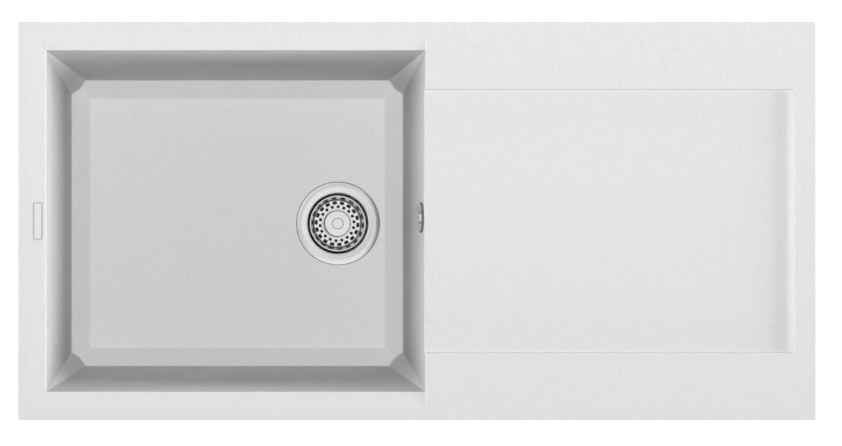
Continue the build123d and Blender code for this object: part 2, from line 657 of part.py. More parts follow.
# Fixing screw: guide post for the basket, collar on the well's floor, shank down to the nut
with BuildPart() as waste_screw:
    with BuildSketch(drain_level(WELL_Z)):
        Circle(POST_COLLAR_RADIUS)
    extrude(amount=POST_COLLAR_HEIGHT)
    with BuildSketch(drain_level(WELL_Z)):
        Circle(POST_RADIUS)
    extrude(amount=POST_HEIGHT)
    chamfer(waste_screw.faces().sort_by(Axis.Z)[-1].edges(), POST_CHAMFER)
    with BuildSketch(drain_level(WELL_Z + POST_HEIGHT)):
        RegularPolygon(POST_SOCKET_FLATS / 2, 6, major_radius=False)
    extrude(amount=-POST_SOCKET_DEPTH, mode=Mode.SUBTRACT)
    with BuildSketch(drain_level(WELL_Z)):
        Circle(FIXING_RADIUS)
    extrude(amount=HUB_UNDER_Z - FIXING_OVERRUN - WELL_Z)
finish(waste_screw.part, "waste_screw")

with BuildPart() as waste_nut:
    with BuildSketch(drain_level(HUB_UNDER_Z)):
        RegularPolygon(FIXING_NUT_FLATS / 2, 6, major_radius=False)
        Circle(FIXING_RADIUS + THREAD_GAP, mode=Mode.SUBTRACT)
    extrude(amount=FIXING_NUT_HEIGHT)
finish(waste_nut.part, "waste_nut")

# Basket: perforated cup with a turned-out rim
with BuildPart() as basket_cup:
    with BuildSketch(DRAIN_SECTION):
        with BuildLine():
            FilletPolyline(
                (STEM_SPIGOT_RADIUS + ASSEMBLY_GAP, KNOB_Z),
                (BASKET_FOOT_RADIUS, KNOB_Z),
                (BASKET_RIM_RADIUS - BASKET_RIM_WIDTH, BASKET_Z + BASKET_HEIGHT),
                (BASKET_RIM_RADIUS, BASKET_Z + BASKET_HEIGHT),
                radius=(BASKET_BEND_RADIUS, BASKET_RIM_BEND),
            )
            offset(amount=BASKET_SHEET, side=Side.RIGHT)
        make_face()
    revolve(axis=DRAIN_AXIS)
    with BuildSketch(drain_level(BASKET_Z - CUT_OVERRUN)):
        with PolarLocations(PERFORATION_CIRCLE, PERFORATION_COUNT, start_angle=PERFORATION_START):
            Circle(PERFORATION_RADIUS)
        half_pitch = 180 / PERFORATION_COUNT
        with PolarLocations(
            WINDOW_CIRCLE, PERFORATION_COUNT, start_angle=PERFORATION_START + half_pitch
        ):
            Rectangle(WINDOW_DEPTH, WINDOW_WIDTH)
    extrude(amount=BASKET_HEIGHT / 2, mode=Mode.SUBTRACT)
finish(basket_cup.part, "basket_cup")

# Stem that slides on the guide post and carries cup, seal and knob
with BuildPart() as basket_stem:
    with BuildSketch(DRAIN_SECTION):
        with BuildLine():
            Polyline(
                (0, KNOB_Z + STEM_SPIGOT_LENGTH),
                (STEM_SPIGOT_RADIUS, KNOB_Z + STEM_SPIGOT_LENGTH),
                (STEM_SPIGOT_RADIUS, BASKET_Z),
                (STEM_SHOULDER_RADIUS, BASKET_Z),
                (STEM_SHOULDER_RADIUS, PAN_Z + SEAL_THICKNESS),
                (STEM_NECK_RADIUS, PAN_Z + SEAL_THICKNESS),
                (STEM_NECK_RADIUS, PAN_Z),
                (STEM_FOOT_RADIUS, PAN_Z),
                (STEM_FOOT_RADIUS, PAN_Z - STEM_FOOT_THICKNESS),
                (POST_RADIUS + STEM_RUNNING_GAP, PAN_Z - STEM_FOOT_THICKNESS),
                (POST_RADIUS + STEM_RUNNING_GAP, WELL_Z + POST_HEIGHT + POST_HEADROOM),
                (0, WELL_Z + POST_HEIGHT + POST_HEADROOM),
                close=True,
            )
        make_face()
    revolve(axis=DRAIN_AXIS)
finish(basket_stem.part, "basket_stem")

with BuildPart() as basket_seal:
    with BuildSketch(drain_level(PAN_Z)):
        Circle(SEAL_RADIUS)
        Circle(STEM_NECK_RADIUS + ASSEMBLY_GAP, mode=Mode.SUBTRACT)
    extrude(amount=SEAL_THICKNESS)
    fillet(basket_seal.edges().sort_by(SortBy.LENGTH)[-2:], SEAL_EDGE_RADIUS)
finish(basket_seal.part, "basket_seal")

with BuildPart() as basket_knob:
    with BuildSketch(drain_level(KNOB_Z)):
        Circle(KNOB_STEM_RADIUS)
    extrude(amount=KNOB_LIFT)
    with BuildSketch(drain_level(KNOB_DISC_Z)):
        Circle(KNOB_RADIUS)
    extrude(amount=KNOB_THICKNESS)
    fillet(basket_knob.edges().sort_by(SortBy.LENGTH)[-2:], KNOB_EDGE_RADIUS)
    with BuildSketch(drain_level(KNOB_Z)):
        Circle(STEM_SPIGOT_RADIUS + THREAD_GAP)
    extrude(amount=STEM_SPIGOT_LENGTH + ASSEMBLY_GAP, mode=Mode.SUBTRACT)
    with BuildSketch(drain_level(KNOB_TOP_Z - CAP_THICKNESS)):
        Circle(CAP_RADIUS + CAP_GROOVE)
    extrude(amount=CAP_THICKNESS, mode=Mode.SUBTRACT)
finish(basket_knob.part, "basket_knob")

with BuildPart() as knob_cap:
    with BuildSketch(drain_level(KNOB_TOP_Z - CAP_THICKNESS)):
        Circle(CAP_RADIUS)
    extrude(amount=CAP_THICKNESS)
    fillet(knob_cap.faces().sort_by(Axis.Z)[-1].edges(), CAP_EDGE_RADIUS)
finish(knob_cap.part, "knob_cap")

# Overflow rosette: round plate with a raised grating
with BuildPart() as overflow_rosette:
    with BuildSketch(OVERFLOW_PLANE):
        Circle(ROSETTE_RADIUS)
    extrude(amount=ROSETTE_THICKNESS)
    front_edge = overflow_rosette.edges().sort_by(Axis((0, 0, 0), OVERFLOW_PLANE.z_dir))[-1]
    fillet(front_edge, ROSETTE_EDGE_RADIUS)
    with BuildSketch(OVERFLOW_PLANE.offset(ROSETTE_THICKNESS)):
        Circle(ROSETTE_DOME_RADIUS)
    extrude(amount=ROSETTE_DOME_RISE, taper=45)
    with BuildSketch(OVERFLOW_PLANE):
        Circle(OVERFLOW_BORE)
    extrude(amount=ROSETTE_THICKNESS + ROSETTE_DOME_RISE - ROSETTE_SKIN, mode=Mode.SUBTRACT)
    with BuildSketch(OVERFLOW_PLANE):
        with GridLocations(ROSETTE_HOLE_PITCH, 2 * ROSETTE_HOLE_PITCH, 4, 2):
            Circle(ROSETTE_HOLE_RADIUS)
        with GridLocations(ROSETTE_HOLE_PITCH, ROSETTE_HOLE_PITCH, 5, 1):
            Circle(ROSETTE_HOLE_RADIUS)
    extrude(amount=ROSETTE_THICKNESS + 2 * ROSETTE_DOME_RISE, mode=Mode.SUBTRACT)
    with Locations(OVERFLOW_PLANE.offset(ROSETTE_THICKNESS)):
        with Locations(SCREW_PLACES):
            CounterSinkHole(
                OVERFLOW_SCREW_RADIUS + ASSEMBLY_GAP,
                OVERFLOW_SCREW_HEAD + ASSEMBLY_GAP,
                ROSETTE_THICKNESS + CUT_OVERRUN,
            )
finish(overflow_rosette.part, "overflow_rosette")

OVERFLOW_SCREW_END = HOUSING_FACE - HOUSING_BOSS_LENGTH
with BuildPart() as overflow_screws:
    for place in SCREW_PLACES:
        with BuildSketch(OVERFLOW_PLANE.offset(ROSETTE_THICKNESS)):
            with Locations(place):
                Circle(OVERFLOW_SCREW_HEAD)
        with BuildSketch(OVERFLOW_PLANE.offset(ROSETTE_THICKNESS - OVERFLOW_SCREW_HEAD_HEIGHT)):
            with Locations(place):
                Circle(OVERFLOW_SCREW_RADIUS)
        loft(ruled=True)
        with BuildSketch(OVERFLOW_PLANE.offset(ROSETTE_THICKNESS - OVERFLOW_SCREW_HEAD_HEIGHT)):
            with Locations(place):
                Circle(OVERFLOW_SCREW_RADIUS)
        extrude(amount=OVERFLOW_SCREW_END - ROSETTE_THICKNESS + OVERFLOW_SCREW_HEAD_HEIGHT)
finish(overflow_screws.part, "overflow_screws")

with BuildPart() as overflow_gasket:
    with BuildSketch(OVERFLOW_PLANE.offset(HOUSING_FACE)):
        SlotOverall(HOUSING_LENGTH, HOUSING_HEIGHT)
        Circle(OVERFLOW_BORE, mode=Mode.SUBTRACT)
        with Locations(SCREW_PLACES):
            Circle(OVERFLOW_SCREW_HOLE, mode=Mode.SUBTRACT)
    extrude(amount=OVERFLOW_GASKET_THICKNESS)
finish(overflow_gasket.part, "overflow_gasket")

# Housing behind the wall: plate, short barrel, round elbow and a threaded spigot pointing down
ELBOW_RADIUS = OVERFLOW_BORE + HOUSING_WALL
ELBOW_LEVEL = Plane(origin=ELBOW)
with BuildPart() as overflow_housing:
    with BuildSketch(OVERFLOW_PLANE.offset(HOUSING_FACE)):
        SlotOverall(HOUSING_LENGTH, HOUSING_HEIGHT)
    extrude(amount=-HOUSING_PLATE)
    with BuildSketch(OVERFLOW_PLANE.offset(HOUSING_FACE)):
        Circle(ELBOW_RADIUS)
    extrude(amount=-HOUSING_REACH)
    with BuildSketch(OVERFLOW_PLANE.offset(HOUSING_FACE)):
        with Locations(SCREW_PLACES):
            Circle(HOUSING_BOSS_RADIUS)
    extrude(amount=-HOUSING_BOSS_LENGTH)
    with Locations(ELBOW_LEVEL):
        Sphere(ELBOW_RADIUS)
    with BuildSketch(ELBOW_LEVEL):
        Circle(ELBOW_RADIUS)
    extrude(amount=-HOUSING_DROP)
    with BuildSketch(ELBOW_LEVEL.offset(-HOUSING_DROP)):
        Circle(SPIGOT_RADIUS)
    extrude(amount=SPIGOT_LENGTH)
    with BuildSketch(OVERFLOW_PLANE.offset(HOUSING_FACE + CUT_OVERRUN)):
        Circle(OVERFLOW_BORE)
    extrude(amount=-HOUSING_REACH - CUT_OVERRUN, mode=Mode.SUBTRACT)
    with Locations(ELBOW_LEVEL):
        Sphere(OVERFLOW_BORE, mode=Mode.SUBTRACT)
    with BuildSketch(ELBOW_LEVEL):
        Circle(OVERFLOW_BORE)
    extrude(amount=-HOUSING_DROP - CUT_OVERRUN, mode=Mode.SUBTRACT)
    with BuildSketch(OVERFLOW_PLANE.offset(HOUSING_FACE + CUT_OVERRUN)):
        with Locations(SCREW_PLACES):
            Circle(OVERFLOW_SCREW_RADIUS + THREAD_GAP)
    extrude(amount=-HOUSING_BOSS_LENGTH - 2 * CUT_OVERRUN, mode=Mode.SUBTRACT)
finish(overflow_housing.part, "overflow_housing")

# Overflow pipe: collars and cuffs at both ends, ribs between them, one smooth bore
HOSE_START = LOWER_JOINT.offset(UNION_WASHER)
HOSE_END = UPPER_JOINT.offset(UNION_WASHER)
HOSE_END_Z = UPPER_JOINT.origin.Z - UNION_WASHER
HOSE_BEND_RADIUS = PIPE_RUN - INLET_END - UNION_WASHER - HOSE_STRAIGHT
with BuildLine(PIPE_SECTION) as hose_line:
    FilletPolyline(
        (INLET_END + UNION_WASHER, INLET_Z),
        (PIPE_RUN, INLET_Z),
        (PIPE_RUN, HOSE_END_Z),
        radius=HOSE_BEND_RADIUS,
    )
hose_path = hose_line.wires()[0]
HOSE_PLAIN = UNION_COLLAR + HOSE_CUFF_LENGTH
RIB_PITCH = (hose_path.length - 2 * HOSE_PLAIN) / HOSE_RIB_COUNT
RIB_STEPS = (
    (0.0, HOSE_ROOT_RADIUS),
    (0.2, HOSE_CREST_RADIUS),
    (0.55, HOSE_CREST_RADIUS),
    (0.75, HOSE_ROOT_RADIUS),
)


def hose_plane(distance):
    """Plane square to the pipe, with the same X axis all along it."""
    share = distance / hose_path.length
    return Plane(origin=hose_path @ share, x_dir=PIPE_SECTION.z_dir, z_dir=hose_path % share)


with BuildPart() as overflow_hose:
    for rib in range(HOSE_RIB_COUNT):
        for share, radius in RIB_STEPS:
            with BuildSketch(hose_plane(HOSE_PLAIN + (rib + share) * RIB_PITCH)):
                Circle(radius)
    with BuildSketch(hose_plane(hose_path.length - HOSE_PLAIN)):
        Circle(HOSE_ROOT_RADIUS)
    loft(ruled=True)
    for end in (HOSE_START, HOSE_END):
        with BuildSketch(end):
            Circle(HOSE_ROOT_RADIUS)
        extrude(amount=HOSE_PLAIN)
        with BuildSketch(end):
            Circle(UNION_COLLAR_RADIUS)
        extrude(amount=UNION_COLLAR)
    with BuildSketch(HOSE_START):
        Circle(HOSE_BORE)
    sweep(path=hose_path, mode=Mode.SUBTRACT)
finish(overflow_hose.part, "overflow_hose")


def union_nut(joint):
    """Ribbed nut on a spigot's end that presses the pipe's collar on its washer."""
    grip = joint.offset(-UNION_GRIP_LENGTH)
    depth = UNION_GRIP_LENGTH + UNION_WASHER + UNION_COLLAR
    with BuildPart() as nut:
        with BuildSketch(grip):
            Circle(UNION_RADIUS)
            with PolarLocations(UNION_RADIUS, UNION_RIB_COUNT):
                Circle(UNION_RIB_RADIUS)
        extrude(amount=depth + UNION_LIP)
        with BuildSketch(grip):
            Circle(SPIGOT_RADIUS + ASSEMBLY_GAP)
        extrude(amount=depth, mode=Mode.SUBTRACT)
        with BuildSketch(grip):
            Circle(HOSE_ROOT_RADIUS + ASSEMBLY_GAP)
        extrude(amount=depth + UNION_LIP, mode=Mode.SUBTRACT)
    return nut.part


def union_washer(joint):
    """Rubber ring between a spigot's end and the pipe's collar."""
    with BuildPart() as washer:
        with BuildSketch(joint):
            Circle(UNION_COLLAR_RADIUS)
            Circle(OVERFLOW_BORE, mode=Mode.SUBTRACT)
        extrude(amount=UNION_WASHER)
    return washer.part


for place, joint in (("upper", UPPER_JOINT), ("lower", LOWER_JOINT)):
    finish(union_nut(joint), f"union_nut_{place}")
    finish(union_washer(joint), f"union_washer_{place}")

# Clamps: brass inserts in the moulding's bosses, then a screw and a claw at each station
with BuildPart() as clamp_inserts:
    for x, y, outward in CLAMP_STATIONS:
        with BuildSketch(Plane(origin=(x, y, -BOSS_DROP))):
            Circle(INSERT_RADIUS)
            Circle(CLAMP_THREAD_RADIUS + THREAD_GAP, mode=Mode.SUBTRACT)
        extrude(amount=INSERT_LENGTH)
finish(clamp_inserts.part, "clamp_inserts")


def clamp_screw(station):
    """Hexagon-headed screw hanging from its insert, with a flange under the claw."""
    base = clamp_plane(station, CLAW_Z, 0)
    with BuildPart() as screw:
        with BuildSketch(base):
            Circle(CLAMP_THREAD_RADIUS)
        extrude(amount=CLAMP_SHANK)
        chamfer(screw.faces().sort_by(Axis.Z)[-1].edges(), CLAMP_SCREW_CHAMFER)
        with BuildSketch(base):
            Circle(CLAMP_FLANGE_RADIUS)
        extrude(amount=-CLAMP_FLANGE_THICKNESS)
        with BuildSketch(base.offset(-CLAMP_FLANGE_THICKNESS)):
            RegularPolygon(CLAMP_HEAD_FLATS / 2, 6, major_radius=False)
        extrude(amount=-CLAMP_HEAD_HEIGHT)
    return screw.part


def clamp_claw(station):
    """Bent strip on the screw's flange, parked along the rim with its tip turned up."""
    parked = clamp_plane(station, CLAW_Z, -90)
    side = Plane(origin=parked.origin, x_dir=parked.x_dir, z_dir=-parked.y_dir)
    with BuildPart() as claw:
        with BuildSketch(side):
            with BuildLine():
                FilletPolyline(
                    (-CLAW_TAIL, 0),
                    (CLAW_REACH, 0),
                    (CLAW_REACH, CLAW_TIP_HEIGHT),
                    radius=CLAW_BEND_RADIUS,
                )
                offset(amount=CLAW_SHEET, side=Side.LEFT)
            make_face()
        extrude(amount=CLAW_WIDTH / 2, both=True)
        along = Axis(parked.origin, parked.x_dir)
        fillet(claw.edges().filter_by(Axis.Z).sort_by(along)[:2], CLAW_TAIL_RADIUS)
        with BuildSketch(parked):
            Circle(CLAMP_THREAD_RADIUS + ASSEMBLY_GAP)
        extrude(amount=CLAW_SHEET, mode=Mode.SUBTRACT)
    return claw.part


for number, station in enumerate(CLAMP_STATIONS, start=1):
    finish(clamp_screw(station), f"clamp_screw_{number}")
    finish(clamp_claw(station), f"clamp_claw_{number}")
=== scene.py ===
import json
from bisect import bisect
from math import cos, pi, radians, sin

import bpy
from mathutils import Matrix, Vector, noise


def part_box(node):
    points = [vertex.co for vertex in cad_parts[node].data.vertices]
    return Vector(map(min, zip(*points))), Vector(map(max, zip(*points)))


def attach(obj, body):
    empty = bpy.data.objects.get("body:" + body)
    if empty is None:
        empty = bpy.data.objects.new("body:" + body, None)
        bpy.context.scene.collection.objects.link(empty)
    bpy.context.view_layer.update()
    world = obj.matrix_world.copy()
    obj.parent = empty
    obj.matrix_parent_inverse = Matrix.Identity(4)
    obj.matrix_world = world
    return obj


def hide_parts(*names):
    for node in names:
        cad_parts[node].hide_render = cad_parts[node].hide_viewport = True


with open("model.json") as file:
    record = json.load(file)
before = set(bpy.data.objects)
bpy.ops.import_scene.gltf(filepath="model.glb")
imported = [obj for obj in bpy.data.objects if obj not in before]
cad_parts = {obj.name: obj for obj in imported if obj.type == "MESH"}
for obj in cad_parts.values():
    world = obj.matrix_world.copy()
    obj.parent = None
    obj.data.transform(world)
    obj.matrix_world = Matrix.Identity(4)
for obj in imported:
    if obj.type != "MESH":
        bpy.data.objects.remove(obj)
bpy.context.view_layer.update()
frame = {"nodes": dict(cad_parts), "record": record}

nodes = frame["nodes"]
scene = bpy.context.scene
scene.view_settings.view_transform = "Standard"

# Sizes in metres, repeated from the solids
MM = 0.001
DECK_Z = 0.009
FLOOR_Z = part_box("waste_body")[0].z
DRAIN = Vector((-0.0875, 0.0, 0.0))

# Camera: straight above the bowl, its picture shifted to take in the drainer
IMAGE_WIDTH = 842
METRES_PER_PIXEL = 0.001251
CAMERA_HEIGHT = 1.868
CAMERA_X = -0.204
CAMERA_Y = -0.0313
VIEW_X = 0.00493
VIEW_Y = -0.0025
SENSOR_WIDTH = 36.0
view_width = IMAGE_WIDTH * METRES_PER_PIXEL

camera = bpy.data.objects.new("camera", bpy.data.cameras.new("camera"))
scene.collection.objects.link(camera)
camera.location = (CAMERA_X, CAMERA_Y, DECK_Z + CAMERA_HEIGHT)
camera.data.sensor_width = SENSOR_WIDTH
camera.data.lens = SENSOR_WIDTH * CAMERA_HEIGHT / view_width
camera.data.shift_x = (VIEW_X - CAMERA_X) / view_width
camera.data.shift_y = (VIEW_Y - CAMERA_Y) / view_width
scene.camera = camera
scene.cycles.diffuse_bounces = 1


# Width and blur of the painted shadow of the gap round a plate, and the reach of painted shade greys by
# radius in millimetres
GAP_SHADE_WIDTH = 1 * MM
GAP_SHADE_BLUR = 0.4 * MM
SHADE_REACH = 100


class Paint:
    """A material and short ways to add nodes to it."""

    def __init__(self, name, colour, roughness, metallic=0.0):
        self.material = bpy.data.materials.new(name)
        self.material.use_nodes = True
        self.tree = self.material.node_tree
        self.shader = self.tree.nodes["Principled BSDF"]
        self.shader.inputs["Base Color"].default_value = (*colour, 1.0)
        self.shader.inputs["Roughness"].default_value = roughness
        self.shader.inputs["Metallic"].default_value = metallic
        self.place = self.add("ShaderNodeTexCoord").outputs["Object"]

    def add(self, kind, **settings):
        node = self.tree.nodes.new(kind)
        for name, value in settings.items():
            setattr(node, name, value)
        return node

    def link(self, output, entry):
        self.tree.links.new(output, entry)

    def set(self, name, value):
        self.shader.inputs[name].default_value = value

    def noise(self, size, detail=2.0):
        """Soft random pattern, its grains about size metres across."""
        node = self.add("ShaderNodeTexNoise")
        node.inputs["Scale"].default_value = 1.0 / size
        node.inputs["Detail"].default_value = detail
        self.link(self.place, node.inputs["Vector"])
        return node.outputs["Fac"]

    def cells(self, size):
        """Random grey for each grain about size metres across."""
        node = self.add("ShaderNodeTexVoronoi")
        node.inputs["Scale"].default_value = 1.0 / size
        self.link(self.place, node.inputs["Vector"])
        return node.outputs["Color"]

    def ramp(self, value, *stops):
        """Colours blended along a value: pairs of place and colour or grey."""
        node = self.add("ShaderNodeValToRGB")
        elements = node.color_ramp.elements
        while len(elements) < len(stops):
            elements.new(0.5)
        for element, (place, colour) in zip(elements, stops):
            element.position = place
            element.color = (*colour, 1.0) if isinstance(colour, tuple) else (colour,) * 3 + (1.0,)
        self.link(value, node.inputs["Fac"])
        return node.outputs["Color"]

    def scale(self, value, low, high):
        """A value from 0 to 1 stretched between two others."""
        node = self.add("ShaderNodeMapRange")
        node.inputs["To Min"].default_value = low
        node.inputs["To Max"].default_value = high
        self.link(value, node.inputs["Value"])
        return node.outputs["Result"]

    def mix(self, share, first, second, kind="MIX"):
        """Two colours mixed by a fixed share."""
        node = self.add("ShaderNodeMix", data_type="RGBA", blend_type=kind)
        node.inputs["Factor"].default_value = share
        self.link(first, node.inputs["A"])
        self.link(second, node.inputs["B"])
        return node.outputs["Result"]

    def bump(self, height, strength, depth):
        """Fine relief from a pattern of heights."""
        node = self.add("ShaderNodeBump")
        node.inputs["Strength"].default_value = strength
        node.inputs["Distance"].default_value = depth
        self.link(height, node.inputs["Height"])
        self.link(node.outputs["Normal"], self.shader.inputs["Normal"])

    def reach(self, centre, axes):
        """Distance from a centre, measured along some axes only."""
        shift = self.add("ShaderNodeVectorMath", operation="SUBTRACT")
        shift.inputs[1].default_value = centre
        self.link(self.place, shift.inputs[0])
        level = self.add("ShaderNodeVectorMath", operation="MULTIPLY")
        level.inputs[1].default_value = axes
        self.link(shift.outputs["Vector"], level.inputs[0])
        length = self.add("ShaderNodeVectorMath", operation="LENGTH")
        self.link(level.outputs["Vector"], length.inputs[0])
        return length.outputs["Value"]

    def seam(self, low, high):
        """Mask of the painted gap shadow: 0 on a flat box seen from above, 1 close to its outline."""
        shift = self.add("ShaderNodeVectorMath", operation="SUBTRACT")
        shift.inputs[1].default_value = (low + high) / 2
        self.link(self.place, shift.inputs[0])
        fold = self.add("ShaderNodeVectorMath", operation="ABSOLUTE")
        self.link(shift.outputs["Vector"], fold.inputs[0])
        inset = self.add("ShaderNodeVectorMath", operation="SUBTRACT")
        inset.inputs[1].default_value = (high - low) / 2 - Vector((GAP_SHADE_WIDTH, GAP_SHADE_WIDTH, 0.0))
        self.link(fold.outputs["Vector"], inset.inputs[0])
        sides = self.add("ShaderNodeSeparateXYZ")
        self.link(inset.outputs["Vector"], sides.inputs["Vector"])
        larger = self.add("ShaderNodeMath", operation="MAXIMUM")
        self.link(sides.outputs["X"], larger.inputs[0])
        self.link(sides.outputs["Y"], larger.inputs[1])
        edge = self.add("ShaderNodeMapRange")
        edge.inputs["From Max"].default_value = GAP_SHADE_BLUR
        self.link(larger.outputs["Value"], edge.inputs["Value"])
        return edge.outputs["Result"]

    def shade(self, distance, *stops):
        """Greys at distances in millimetres, up to SHADE_REACH."""
        share = self.scale(distance, 0.0, 1 / (SHADE_REACH * MM))
        return self.ramp(share, *((mark / SHADE_REACH, grey) for mark, grey in stops))

    def colour(self, output):
        self.link(output, self.shader.inputs["Base Color"])

    def roughness(self, output):
        self.link(output, self.shader.inputs["Roughness"])


def tint(colour, factor):
    return tuple(channel * factor for channel in colour)


def spread(colour, first, second, share):
    """Ramp stops at two places: a colour made darker and lighter by a share."""
    return (first, tint(colour, 1 - share)), (second, tint(colour, 1 + share))


# Grain of the composite: sizes in metres, and contrasts as multiples of the material's grain
STONE_SIZE, STONE_CONTRAST = 0.0024, 2.4
DUST_SIZE, DUST_CONTRAST = 0.0016, 1.6
CLOUD_SIZE, CLOUD_CONTRAST = 0.06, 0.2
CLOUD_SHARE = 0.2
# Grey of the painted shadow of the gap round the badge
GAP_SHADE_GREY = 0.45


def composite(name, colour, grain, plate=None):
    """Stone composite: pale resin full of fine stone grain, matt; a plate has a painted shadow of its gap
    round it.
    """
    paint = Paint(name, colour, 0.5)
    paint.set("Specular IOR Level", 0.08)
    stones = paint.ramp(paint.cells(STONE_SIZE), *spread(colour, 0.2, 0.8, STONE_CONTRAST * grain))
    dust = paint.ramp(paint.noise(DUST_SIZE, 3.0), *spread(colour, 0.3, 0.7, DUST_CONTRAST * grain))
    clouds = paint.ramp(paint.noise(CLOUD_SIZE, 3.0), *spread(colour, 0.3, 0.7, CLOUD_CONTRAST * grain))
    base = paint.mix(CLOUD_SHARE, paint.mix(0.5, stones, dust), clouds)
    if plate:
        # Painted shadow of the gap round the plate, near its outline
        seam = paint.ramp(paint.seam(*plate), (0.4, 1.0), (0.6, GAP_SHADE_GREY))
        base = paint.mix(1.0, base, seam, "MULTIPLY")
    paint.colour(base)
    paint.roughness(paint.scale(paint.noise(0.0012, 2.0), 0.42, 0.6))
    paint.bump(paint.noise(0.0006, 3.0), strength=0.25, depth=0.0002)
    return paint.material


def steel(name, colour, rough, streak, lines=()):
    """Steel with fine marks from turning round the drain's axis, and lines of painted shade by radius."""
    paint = Paint(name, colour, rough[0], 1.0)
    radius = paint.reach(DRAIN, (1.0, 1.0, 0.0))
    rings = paint.add("ShaderNodeTexNoise", noise_dimensions="1D")
    rings.inputs["Scale"].default_value = 1.0 / streak
    rings.inputs["Detail"].default_value = 3.0
    paint.link(radius, rings.inputs["W"])
    paint.roughness(paint.scale(rings.outputs["Fac"], *rough))
    base = paint.ramp(paint.noise(0.004, 2.0), (0.3, tint(colour, 0.97)), (0.7, tint(colour, 1.02)))
    if lines:
        base = paint.mix(1.0, base, paint.shade(radius, *lines), "MULTIPLY")
    paint.colour(base)
    paint.bump(rings.outputs["Fac"], strength=0.08, depth=0.00005)
    return paint.material


def metal(name, colour, rough, grain, centre=None, lines=()):
    """Plain metal with faint blotches and a grain, with painted reflection and shade as greys by distance
    from an upright face's centre.
    """
    paint = Paint(name, colour, rough[0], 1.0)
    base = paint.ramp(paint.noise(0.006, 4.0), (0.3, tint(colour, 0.9)), (0.7, tint(colour, 1.05)))
    if lines:
        shades = paint.shade(paint.reach(centre, (0.0, 1.0, 1.0)), *lines)
        base = paint.mix(1.0, base, shades, "MULTIPLY")
    paint.colour(base)
    paint.roughness(paint.scale(paint.noise(grain, 3.0), *rough))
    paint.bump(paint.noise(grain, 2.0), strength=0.06, depth=0.00005)
    return paint.material


def moulded(name, colour, roughness, grain, depth):
    """Plastic or rubber with a fine moulded skin."""
    paint = Paint(name, colour, roughness)
    paint.colour(
        paint.ramp(paint.noise(0.02, 3.0), (0.3, tint(colour, 0.94)), (0.7, tint(colour, 1.05)))
    )
    paint.roughness(paint.scale(paint.noise(grain, 2.0), roughness - 0.08, roughness + 0.08))
    paint.bump(paint.noise(grain, 2.0), 0.3, depth)
    return paint.material


PALE = (0.68, 0.68, 0.68)
rosette = sum(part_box("overflow_rosette"), Vector()) / 2

# Painted shade and reflection, as pairs of a radius in millimetres and the grey there: painted shadow in
# the groove round the knob's cap and under the knob's edge, and a painted dark reflection and shadow on the
# outer ring of the rosette
KNOB_PAINTED_SHADE = (
    (7.0, 1.0),
    (7.2, 0.3),
    (7.8, 0.3),
    (8.0, 1.0),
    (17.2, 1.0),
    (18.0, 0.35),
    (18.5, 0.35),
    (18.7, 1.0),
)
# On the rosette, a painted dark reflection on its outer ring and a painted shadow line at its rim
ROSETTE_PAINTED_REFLECTION_AND_SHADE = ((11.4, 1.0), (12.2, 0.4), (16.8, 0.3), (17.6, 0.06), (19.4, 0.06), (19.5, 0.3))
materials = {
    "composite": composite("composite", PALE, grain=0.024),
    "badge": composite("badge", PALE, grain=0.015, plate=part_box("blank_badge")),
    "foam": moulded("foam", (0.06, 0.06, 0.065), roughness=0.9, grain=0.0008, depth=0.0003),
    "satin_steel": steel("satin_steel", (0.81, 0.81, 0.81), rough=(0.18, 0.28), streak=0.0004),
    "polished_steel": steel(
        "polished_steel", (0.88, 0.88, 0.88), rough=(0.20, 0.34), streak=0.0006, lines=KNOB_PAINTED_SHADE
    ),
    "chrome": metal(
        "chrome", (0.80, 0.80, 0.81), rough=(0.05, 0.12), grain=0.003, centre=rosette, lines=ROSETTE_PAINTED_REFLECTION_AND_SHADE
    ),
    "zinc_steel": metal("zinc_steel", (0.62, 0.64, 0.66), rough=(0.28, 0.45), grain=0.001),
    "brass": metal("brass", (0.78, 0.60, 0.28), rough=(0.2, 0.35), grain=0.001),
    "black_rubber": moulded(
        "black_rubber", (0.025, 0.025, 0.025), roughness=0.75, grain=0.0006, depth=0.0001
    ),
    "pale_plastic": moulded(
        "pale_plastic", (0.78, 0.78, 0.76), roughness=0.42, grain=0.0008, depth=0.00006
    ),
    "hose_plastic": moulded(
        "hose_plastic", (0.45, 0.46, 0.47), roughness=0.42, grain=0.0008, depth=0.00006
    ),
    "black_plastic": moulded(
        "black_plastic", (0.035, 0.035, 0.037), roughness=0.45, grain=0.0008, depth=0.00008
    ),
}
for part in frame["record"]["subparts"]:
    mesh = nodes[part["node"]].data
    mesh.materials.clear()
    mesh.materials.append(materials[part["material_slot"]])


def new_piece(name, mesh, slot, body):
    """Object of a mesh, painted and riding on a body."""
    mesh.materials.append(materials[slot])
    piece = bpy.data.objects.new(name, mesh)
    scene.collection.objects.link(piece)
    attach(piece, body)
    return piece


def skin(name, rings, crease, loop=False):
    """Mesh over rings of as many points each: a tube with shut ends, or one that closes on itself."""
    count = len(rings[0])
    total = len(rings)
    faces = []
    for step in range(total if loop else total - 1):
        here = step * count
        there = (step + 1) % total * count
        for k in range(count):
            after = (k + 1) % count
            faces.append((here + k, here + after, there + after, there + k))
    if not loop:
        faces.append(tuple(reversed(range(count))))
        faces.append(tuple(range((total - 1) * count, total * count)))
    mesh = bpy.data.meshes.new(name)
    mesh.from_pydata([tuple(point) for ring in rings for point in ring], [], faces)
    mesh.shade_smooth()
    mesh.set_sharp_from_angle(angle=radians(crease))
    return mesh


def circle(radius, z, count):
    """Ring of points at one level; the radius may depend on the angle."""
    ring = []
    for k in range(count):
        angle = 2 * pi * k / count
        reach = radius(angle) if callable(radius) else radius
        ring.append((reach * cos(angle), reach * sin(angle), z))
    return ring


